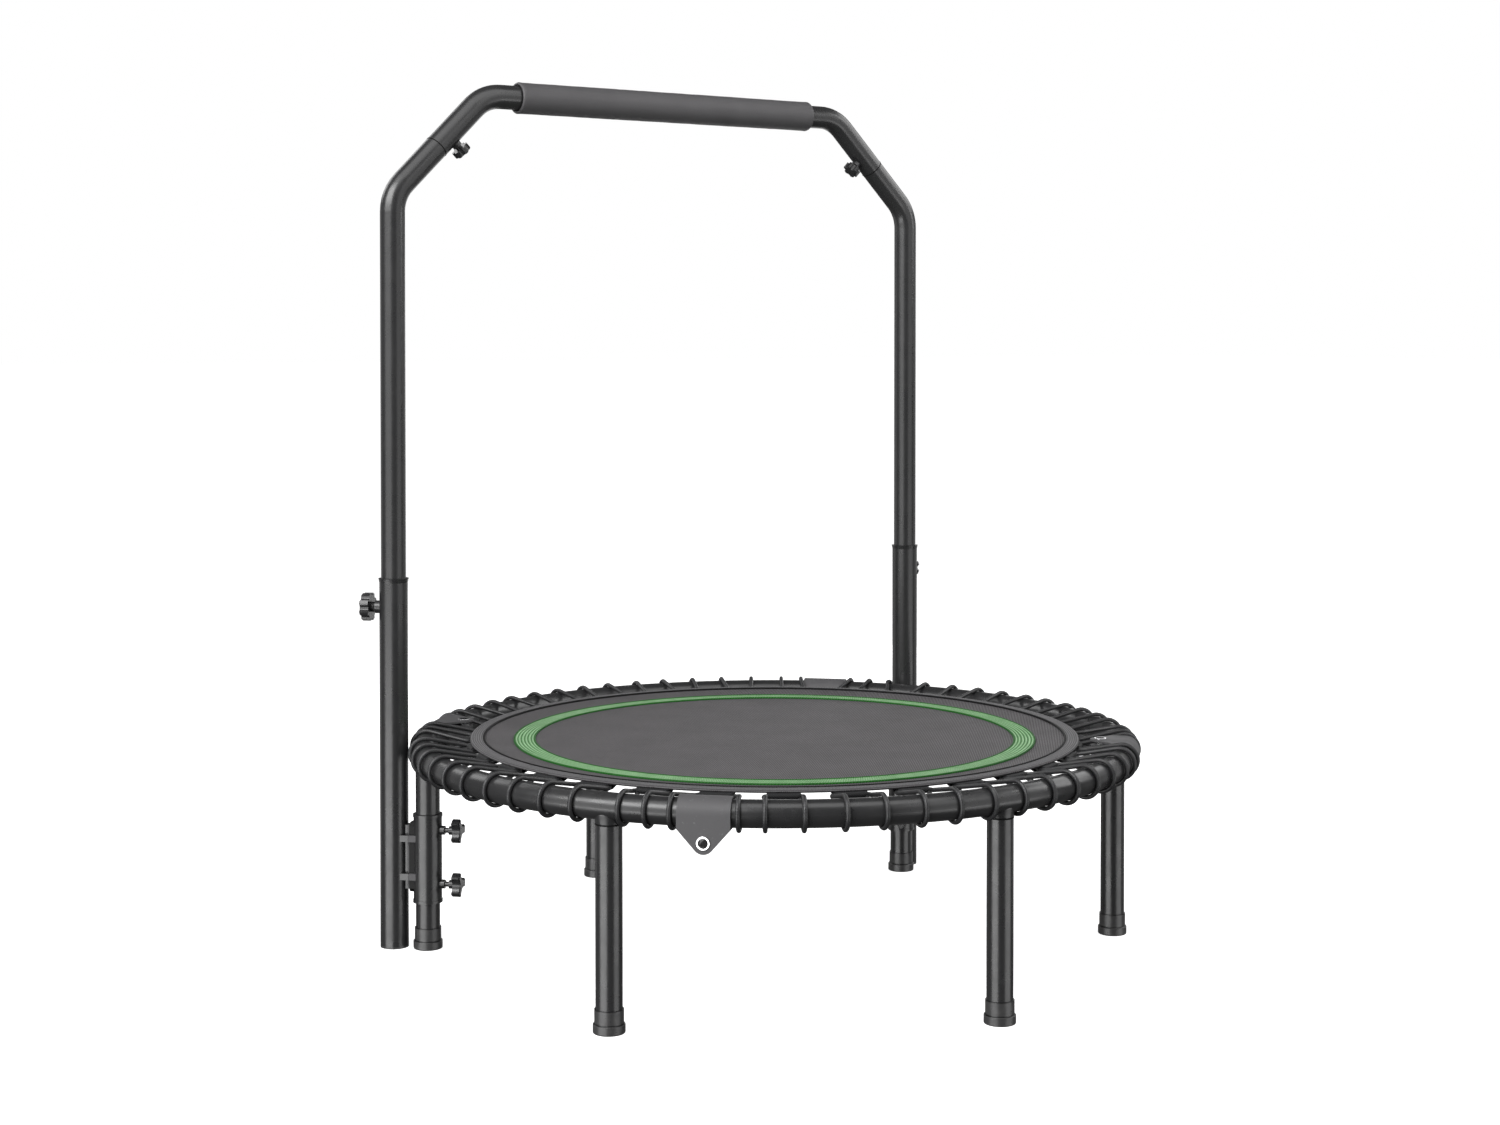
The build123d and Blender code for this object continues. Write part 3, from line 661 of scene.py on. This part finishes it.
def green_ring():
    """Rows of stitches laid side by side, each row half a stitch out of step with the next."""
    stitches = round(2 * math.pi * RING_OUT / STITCH)
    steps = stitches * 4
    across = (0.03, 0.2, 0.5, 0.8, 0.97)
    rise = 0.0012                 # height of a row's crown
    sway = 0.10 * ROW_WIDTH       # how far a stitch leans sideways
    base = mat_height(RING_IN)
    rows = []
    uvs = []
    for k in range(steps):
        angle = 360 * k / steps
        line = [polar(RING_IN, angle, base)]
        uv = [(0.0, 0.0)]
        for i in range(RING_ROWS):
            phase = math.pi * k / 4 + (i % 2) * math.pi / 2
            fat = 0.45 + 0.55 * abs(math.sin(phase))
            lean = sway * math.sin(2 * phase)
            for t in across:
                height = 0.0002 + rise * fat * math.sin(math.pi * t) ** 0.7
                out = ROW_WIDTH * (i + t)
                radius = RING_IN + out + (lean if 0.1 < t < 0.9 else 0.0)
                line.append(polar(radius, angle, base + height))
                uv.append((math.radians(angle) * RING_OUT, out))
        line.append(polar(RING_OUT, angle, base))
        uv.append((math.radians(angle) * RING_OUT, ROW_WIDTH * RING_ROWS))
        rows.append(line)
        uvs.append(uv)
    builder = Builder()
    builder.add_grid(rows, uvs, True, True)
    obj = builder.finish("green_stitched_ring", FINISHES["stitch_green"])
    made = [bend_with_fold(obj)]
    for name, radius in (("green_cord_inner", RING_IN), ("green_cord_outer", RING_OUT)):
        edge = Builder()
        add_tube(edge, circle(radius, base + 0.0005), 0.0016, TRIM_SIDES)
        border = edge.finish(name, GREEN_EDGE)
        made.append(bend_with_fold(border))
    return made


def edge_cord_and_shade():
    """Black cord sewn into the band's inner edge, its size and black also standing as painted
    shade for the groove there.
    """
    builder = Builder()
    # partly a sewn cord, partly painted shade: the cord's black stands in for the shade in the
    # groove at the band's edge
    add_tube(builder, circle(BAND_IN - 0.0012, MAT_TOP + 0.0004), 0.0019, TRIM_SIDES)
    obj = builder.finish("band_edge_cord_and_shade", BLACK_CORD_AND_SHADE)
    return bend_with_fold(obj)


def cord_pairs():
    """Each cord ring's middle and two wrap angles, moved off the leg stubs where needed."""
    pairs = []
    for index in range(PAIRS):
        middle = FOLD_ANGLE + index * 360 / PAIRS
        half = BRACKET_PAIR_HALF if index % (PAIRS // 4) == 0 else PAIR_HALF
        pair = [middle]
        for wrap in (middle - half, middle + half):
            for stub in LEG_ANGLES:
                offset = (wrap - stub + 180) % 360 - 180
                if abs(offset) < STUB_CLEAR:
                    wrap += math.copysign(STUB_CLEAR, offset) - offset
            pair.append(wrap)
        pairs.append(pair)
    return pairs


def tangent_angles(radius, z, big):
    """Angles on the tube where a strand from (radius, z) touches it above and below."""
    dx = radius - RING_R
    dz = z - RING_Z
    heading = math.atan2(dz, dx)
    spread = math.acos(big / math.hypot(dx, dz))
    return heading - spread, heading + spread


def wrap_points(end, wrap, inward):
    """One wrap: from the outer pass, over the tube, round it and back to the inner pass.

    The strands meet the mat's edge at the angle end, and the tube at the angle wrap.
    """
    big = TUBE_R + CORD_R + 0.0002    # the cord's line round the tube
    over = tangent_angles(RUN_OUT_R, RUN_Z, big)[0]
    under = tangent_angles(RUN_IN_R, RUN_Z, big)[1]
    back = end + inward * 0.6         # the lower strand ends a little further in
    corner = 0.0045                   # where a strand turns into its pass
    turn = math.degrees(corner / MAT_R)
    points = []
    for k in range(4):
        t = k / 3
        points.append(polar(RUN_OUT_R + corner * t * t, end + inward * turn * (1 - t) ** 2, RUN_Z))
    top_r = RING_R + big * math.cos(over)
    top_z = RING_Z + big * math.sin(over)
    for k in range(1, 4):
        t = k / 4
        r = RUN_OUT_R + corner + (top_r - RUN_OUT_R - corner) * t
        points.append(polar(r, end + (wrap - end) * t, RUN_Z + (top_z - RUN_Z) * t))
    sweep = (under - over) % (2 * math.pi) - 2 * math.pi
    turns = 22
    for k in range(turns + 1):
        angle = over + sweep * k / turns
        points.append(polar(RING_R + big * math.cos(angle), wrap, RING_Z + big * math.sin(angle)))
    low_r = RING_R + big * math.cos(under)
    low_z = RING_Z + big * math.sin(under)
    for k in range(1, 5):
        t = k / 5
        r = low_r + (RUN_IN_R + corner - low_r) * t
        points.append(polar(r, wrap + (back - wrap) * t, low_z + (RUN_Z - low_z) * t))
    for k in range(4):
        t = k / 3
        points.append(polar(RUN_IN_R + corner * (1 - t) ** 2, back + inward * turn * t * t, RUN_Z))
    return points


def ring_points(middle, low, high):
    """A cord ring folded over the tube: two wraps, joined by two passes under the mat."""
    wobble = 0.15                     # degrees
    first = wrap_points(middle + TAB_HALF, high + random.uniform(-wobble, wobble), -1)
    second = wrap_points(middle - TAB_HALF, low + random.uniform(-wobble, wobble), 1)
    shares = (-0.5, 0.0, 0.5)
    inner = [polar(RUN_IN_R, middle - TAB_HALF * t, RUN_Z) for t in shares]
    outer = [polar(RUN_OUT_R, middle + TAB_HALF * t, RUN_Z) for t in shares]
    return first + inner + list(reversed(second)) + outer


def is_west(degrees):
    return (degrees - FOLD_ANGLE) % 360 < 180


def cord_rings():
    """All the cord rings: one mesh for each half, and one for each ring on the fold line."""
    builders = {"west": Builder(), "east": Builder(), "north": Builder(), "south": Builder()}
    for middle, low, high in cord_pairs():
        if is_west(low) == is_west(high):
            key = "west" if is_west(low) else "east"
        else:
            key = "north" if is_west(high) else "south"
        add_tube(builders[key], ring_points(middle, low, high), CORD_R)
    for key, builder in builders.items():
        obj = builder.finish(f"bungee_rings_{key}", FINISHES["cord"])
        if key in ("west", "east"):
            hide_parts(f"bungee_cord_{key}", f"loop_bars_{key}")
            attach(obj, f"{key}_half")
        else:
            bend_with_fold(obj)


def mat_tabs():
    """Webbing tabs sewn under the mat's edge, each holding both passes of a cord ring."""
    outer_r = RUN_OUT_R + CORD_R + 0.0012
    half = CORD_R + 0.0010
    thick = 0.0009
    start_r = MAT_R - 0.026
    start_z = MAT_UNDER - 0.0009
    split_r = start_r + 0.004         # the tab's two layers part here
    outline = [(start_r, start_z), (RUN_OUT_R - 0.001, RUN_Z + half)]
    for k in range(1, 8):
        angle = math.pi / 2 - math.pi * k / 8
        outline.append((outer_r - half + half * math.cos(angle), RUN_Z + half * math.sin(angle)))
    outline.append((RUN_IN_R - 0.003, RUN_Z - half))
    outline.append((start_r, start_z - 2 * thick))
    inner = []
    middle = (RUN_OUT_R - 0.006, RUN_Z)
    for r, z in reversed(outline[1:-1]):
        gap = math.dist((r, z), middle)
        share = (gap - thick) / gap
        inner.append((middle[0] + (r - middle[0]) * share, middle[1] + (z - middle[1]) * share))
    profile = outline + [(split_r, start_z - thick)] + inner
    profile.append((split_r, start_z - 0.8 * thick))
    builder = Builder()
    half_width = TAB_HALF - 0.45      # the cord shows past a tab's ends
    for middle, _, _ in cord_pairs():
        add_lathe(builder, profile, middle - half_width, middle + half_width, 8)
    obj = builder.finish("mat_tabs", TAB_CLOTH)
    return bend_with_fold(obj)


def leg_join_shade():
    """Thin black rings where the leg stubs meet the screwed-on legs: painted shade for the shadow
    gap at each join.
    """
    wire = 0.0013
    sunk = 0.0005                 # the ring's wire lies partly in the leg's wall
    builders = {"west": Builder(), "east": Builder()}
    for name in LEGS:
        low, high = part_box(name)
        centre = (low + high) / 2
        radius = (high.x - low.x) / 2 - sunk
        azimuth = math.degrees(math.atan2(centre.y, centre.x))
        middle = Vector((centre.x, centre.y, high.z))
        points = [middle + point for point in circle(radius, 0, SMALL_STEPS)]
        add_tube(builders["west" if is_west(azimuth) else "east"], points, wire, TRIM_SIDES)
    for half, builder in builders.items():
        # painted shade: the black rings stand for the shadow gap at the legs' joins
        obj = builder.finish(f"leg_join_shade_{half}", SEAM_AND_SHADE_BLACK)
        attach(obj, f"{half}_half")


def seam_rings():
    """Thin black rings where the top bar's ends meet the upper posts."""
    wire = 0.0010
    radius = BAR_R - 0.0004
    inset = 0.0001                    # the ring lies this far inside the bar's end
    low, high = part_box("top_bar")
    bar_y = (low.y + high.y) / 2
    drop = BAR_R * math.sqrt(0.5)     # from the lowest edge of a 45 degree end to its axis
    builder = Builder()
    for side, edge in ((-1, low.x), (1, high.x)):
        middle = Vector((edge - side * drop, bar_y, low.z + drop))
        slope = Vector((-side, 0, 1)).normalized()
        flank = Vector((side, 0, 1)).normalized()
        points = []
        for k in range(SMALL_STEPS):
            angle = 2 * math.pi * k / SMALL_STEPS
            spoke = math.cos(angle) * flank + math.sin(angle) * Vector((0, 1, 0))
            points.append(middle + slope * inset + radius * spoke)
        add_tube(builder, points, wire, TRIM_SIDES)
    obj = builder.finish("seam_rings", SEAM_AND_SHADE_BLACK)
    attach(obj, "upper_handle")


def foam_grip():
    """Foam sleeve with slightly flared, rounded ends and a loose mouth round the bar."""
    builder = Builder()
    axis_y = (grip_low.y + grip_high.y) / 2
    axis_z = (grip_low.z + grip_high.z) / 2
    half = (grip_high.x - grip_low.x) / 2
    mouth = BAR_R + 0.0022
    bore = BAR_R + 0.0001
    mouth_depth = 0.012
    bore_from = 0.014
    rounding = ((0.0, 0.0022), (0.0008, 0.0008), (0.0024, 0.0))    # in from the end, and down
    outline = [(-half, mouth)] + [(-half + x, GRIP_R - drop) for x, drop in rounding]
    stations = 60
    for k in range(1, stations):
        x = -half + 2 * half * k / stations
        outline.append((x, GRIP_R - 0.0002 - 0.0003 * random.random()))    # slightly uneven
    outline += [(half - x, GRIP_R - drop) for x, drop in reversed(rounding)]
    outline += [(half, mouth), (half - mouth_depth, mouth), (half - bore_from, bore),
                (-half + bore_from, bore), (-half + mouth_depth, mouth)]
    sides = 64
    rows = []
    uvs = []
    for k in range(sides):
        angle = 2 * math.pi * k / sides
        rows.append([Vector((x, axis_y + r * math.cos(angle), axis_z + r * math.sin(angle)))
                     for x, r in outline])
        uvs.append([(x, r * angle) for x, r in outline])
    builder.add_grid(rows, uvs, True, True)
    obj = builder.finish("foam_grip_sleeve", FINISHES["foam"])
    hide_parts("foam_grip")
    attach(obj, "upper_handle")


# ---- studio -----------------------------------------------------------------
def floor():
    """Large pale floor that shows as plain white, not part of the object."""
    size = 60.0
    mesh = bpy.data.meshes.new("floor")
    mesh.from_pydata([(-size, -size, 0), (size, -size, 0), (size, size, 0), (-size, size, 0)],
                     [], [(0, 1, 2, 3)])
    finish = Finish("pale_floor", (0.85, 0.85, 0.85), 0.8, Specular_IOR_Level=0.0,
                    Emission_Color=(1, 1, 1, 1), Emission_Strength=0.97)
    mesh.materials.append(finish.material)
    obj = bpy.data.objects.new("floor", mesh)
    obj.visible_glossy = False
    obj.visible_diffuse = False
    obj.visible_shadow = False
    bpy.context.scene.collection.objects.link(obj)


def area_light(name, azimuth, distance, height, size, radiance, aim):
    """Softbox of the given size and radiance, turned towards its aim."""
    light = bpy.data.lights.new(name, "AREA")
    light.shape = "RECTANGLE"
    light.size, light.size_y = size
    light.energy = radiance * math.pi * size[0] * size[1]
    obj = bpy.data.objects.new(name, light)
    obj.location = polar(distance, azimuth, height)
    obj.rotation_mode = "QUATERNION"
    obj.rotation_quaternion = (Vector(aim) - obj.location).to_track_quat("-Z", "Y")
    bpy.context.scene.collection.objects.link(obj)


CAMERA_AZIMUTH = 234.674
AMBIENT = 0.08                    # light from all round; the camera sees it as white
PANEL_DISTANCE = 3.2
# softbox walls: name, azimuth from the camera, width, and (low, high, radiance) of each level
PANELS = (
    ("key", -42, 3.2, ((-1.0, -0.1, 3.5), (-0.1, 1.6, 0.95), (1.7, 4.0, 5.8))),
    ("side", 62, 2.8, ((-1.0, -0.1, 1.8), (-0.1, 1.6, 0.55), (1.7, 3.4, 1.0))),
    ("strip", 100, 0.8, ((1.1, 3.4, 3.0),)),
    ("back", 172, 1.6, ((-0.8, 1.1, 1.2),)),
    ("rear_left", -130, 2.4, ((-0.6, 1.4, 0.35), (1.7, 3.4, 2.0))),
    ("rear_right", 130, 2.4, ((-0.6, 1.4, 0.35), (1.7, 3.4, 2.0))),
)


def studio():
    scene = bpy.context.scene
    scene.view_settings.view_transform = "Standard"
    world = bpy.data.worlds.new("studio")
    scene.world = world
    world.use_nodes = True
    nodes = world.node_tree.nodes
    links = world.node_tree.links
    background = nodes["Background"]
    background.inputs["Color"].default_value = (1, 1, 1, 1)
    seen = nodes.new("ShaderNodeLightPath")
    strength = nodes.new("ShaderNodeMapRange")
    strength.inputs["To Min"].default_value = AMBIENT
    strength.inputs["To Max"].default_value = 1.0
    links.new(seen.outputs["Is Camera Ray"], strength.inputs["Value"])
    links.new(strength.outputs["Result"], background.inputs["Strength"])
    for side, azimuth, width, levels in PANELS:
        for level, (low, high, radiance) in enumerate(levels):
            height = (low + high) / 2
            area_light(f"{side}_{level}", CAMERA_AZIMUTH + azimuth, PANEL_DISTANCE, height,
                       (width, high - low), radiance, (0, 0, height))
    area_light("top", CAMERA_AZIMUTH + 10, distance=1.0, height=3.0, size=(4.0, 1.8),
               radiance=1.4, aim=(0, 0, 0.3))


def camera():
    """Looks at the object from its front left, slightly down."""
    distance, height = 3.3463, 0.8672
    facing = 55.2664              # degrees round +Z
    tilt = 0.0213                 # radians down
    data = bpy.data.cameras.new("camera")
    data.sensor_width = 36        # this and the lens in millimetres
    data.lens = 56.5752
    data.shift_y = -0.12
    obj = bpy.data.objects.new("camera", data)
    obj.location = polar(distance, CAMERA_AZIMUTH, height)
    aim = polar(math.cos(tilt), facing, -math.sin(tilt))
    obj.rotation_mode = "QUATERNION"
    obj.rotation_quaternion = aim.to_track_quat("-Z", "Y")
    bpy.context.scene.collection.objects.link(obj)
    bpy.context.scene.camera = obj


camera()
studio()
floor()
finish_cad_nodes()
sheet = mat_sheet()
on_mat = [edge_webbing(), edge_cord_and_shade(), mat_tabs(), *green_ring()]
for index, radius in enumerate(STITCH_ROWS):
    row = stitch_row(f"band_stitches_{index + 1}", radius, BAND_TOP + 0.0002, GREY_THREAD)
    on_mat.append(row)
cord_rings()
leg_join_shade()
seam_rings()
foam_grip()
